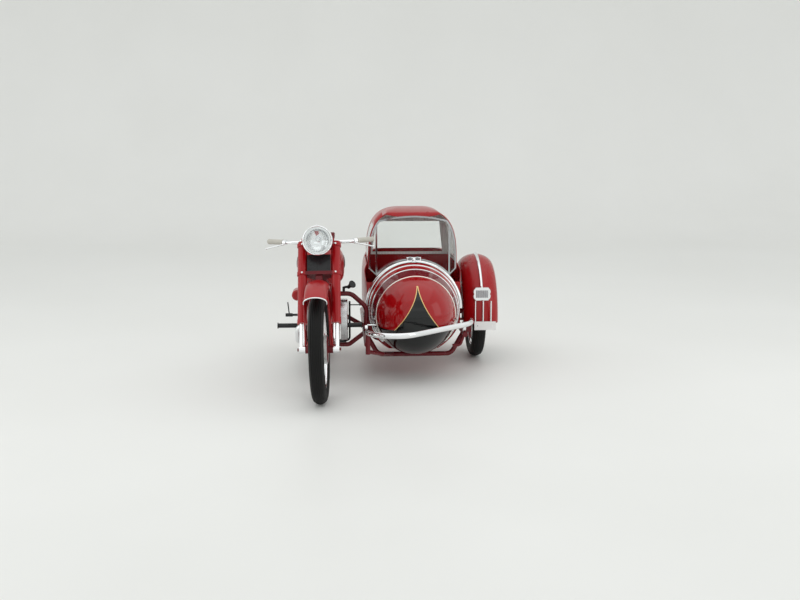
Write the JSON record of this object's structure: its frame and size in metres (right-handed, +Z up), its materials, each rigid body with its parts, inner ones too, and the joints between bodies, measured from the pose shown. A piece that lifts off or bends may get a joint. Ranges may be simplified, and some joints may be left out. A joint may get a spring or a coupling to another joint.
{
  "type": "sidecar motorcycle",
  "caption": "Solo motorcycle with a closed torpedo-shaped sidecar on its left, a clear canopy that tips forward, turning wheels, steering and a centre stand.",
  "frame": {"origin": "on the floor below the middle of the whole machine's length and width", "axes": "+Z up, +Y towards the rear, +X towards the sidecar (the motorcycle's left)"},
  "size_m": [1.598, 2.3936, 1.1299],
  "materials": {
    "red_paint": "gloss",
    "dark_red_paint": "gloss",
    "black_paint": "gloss",
    "white_paint": "gloss",
    "chrome": "polished",
    "steel": "satin",
    "alloy": "satin",
    "tyre": "matt",
    "rubber": "matt",
    "grip_rubber": "satin",
    "black_leather": "satin",
    "red_leather": "satin",
    "clear": "clear",
    "lamp_glass": "clear"
  },
  "bodies": {
    "root": {"main_frame": "dark_red_paint", "rear_frame": "dark_red_paint", "crankcase": "alloy", "cylinder": "alloy", "exhaust": "chrome", "carburettor": "alloy", "fuel_tank": "red_paint", "saddle": "black_leather", "pillion_pad": "black_leather", "rear_mudguard": "red_paint", "rear_axle": "dark_red_paint", "drive_chain": "black_paint", "tool_canister": "red_paint", "foot_controls": "black_paint", "horn": "black_paint", "sidecar_chassis": "dark_red_paint", "sidecar_arch": "dark_red_paint", "bumper": "chrome", "body_springs": "chrome", "sidecar_nose": "red_paint", "sidecar_tub": "red_paint", "sidecar_tail": "red_paint", "cowl_hoop": "chrome", "seat_cushion": "red_leather", "seat_back": "red_leather", "sidecar_mudguard": "red_paint", "sidecar_lamp": "chrome", "number_plate": "white_paint"},
    "steering": {"fork_tubes": "red_paint", "fork_stanchions": "chrome", "fork_yokes": "dark_red_paint", "front_axle": "dark_red_paint", "front_mudguard": "red_paint", "headlamp": "red_paint", "headlamp_glass": "lamp_glass", "instrument": "dark_red_paint", "fork_panel": "black_paint", "handlebar": "chrome", "handlebar_grips": "grip_rubber", "hand_levers": "chrome"},
    "front_wheel": {"front_tyre": "tyre", "front_rim": "chrome", "front_hub": "alloy"},
    "rear_wheel": {"rear_tyre": "tyre", "rear_rim": "chrome", "rear_hub": "alloy"},
    "sidecar_wheel": {"sidecar_tyre": "tyre", "sidecar_rim": "chrome", "sidecar_hub": "alloy"},
    "flywheel": {"flywheel": "steel"},
    "stand": {"centre_stand": "black_paint"},
    "canopy": {"canopy_roof": "red_paint", "canopy_frame": "chrome", "windscreen": "clear", "side_windows": "clear"}
  },
  "joints": [
    {"name": "steering", "type": "hinge", "parent": "root", "child": "steering", "pos_m": [-0.452, -0.57631, 0.74909], "axis": [0, 0.454, 0.891], "range_deg": [-29, 35]},
    {"name": "front_wheel_spin", "type": "hinge", "parent": "steering", "child": "front_wheel", "pos_m": [-0.45551, -0.86292, 0.33396], "axis": [0.9986, -0.0466, 0.0238], "continuous": true},
    {"name": "rear_wheel_spin", "type": "hinge", "parent": "root", "child": "rear_wheel", "pos_m": [-0.452, 0.612, 0.334], "axis": [1, 0, 0], "continuous": true},
    {"name": "sidecar_wheel_spin", "type": "hinge", "parent": "root", "child": "sidecar_wheel", "pos_m": [0.675, 0.58, 0.334], "axis": [1, 0, 0], "continuous": true},
    {"name": "flywheel_spin", "type": "hinge", "parent": "root", "child": "flywheel", "pos_m": [-0.322, -0.138, 0.4], "axis": [1, 0, 0], "continuous": true},
    {"name": "stand_fold", "type": "hinge", "parent": "root", "child": "stand", "pos_m": [-0.452, 0.122, 0.215], "axis": [-1, 0, 0], "range_deg": [0, 54]},
    {"name": "canopy_tip", "type": "hinge", "parent": "root", "child": "canopy", "pos_m": [0.178, -0.011, 0.8], "axis": [1, 0, 0], "range_deg": [0, 70]}
  ]
}
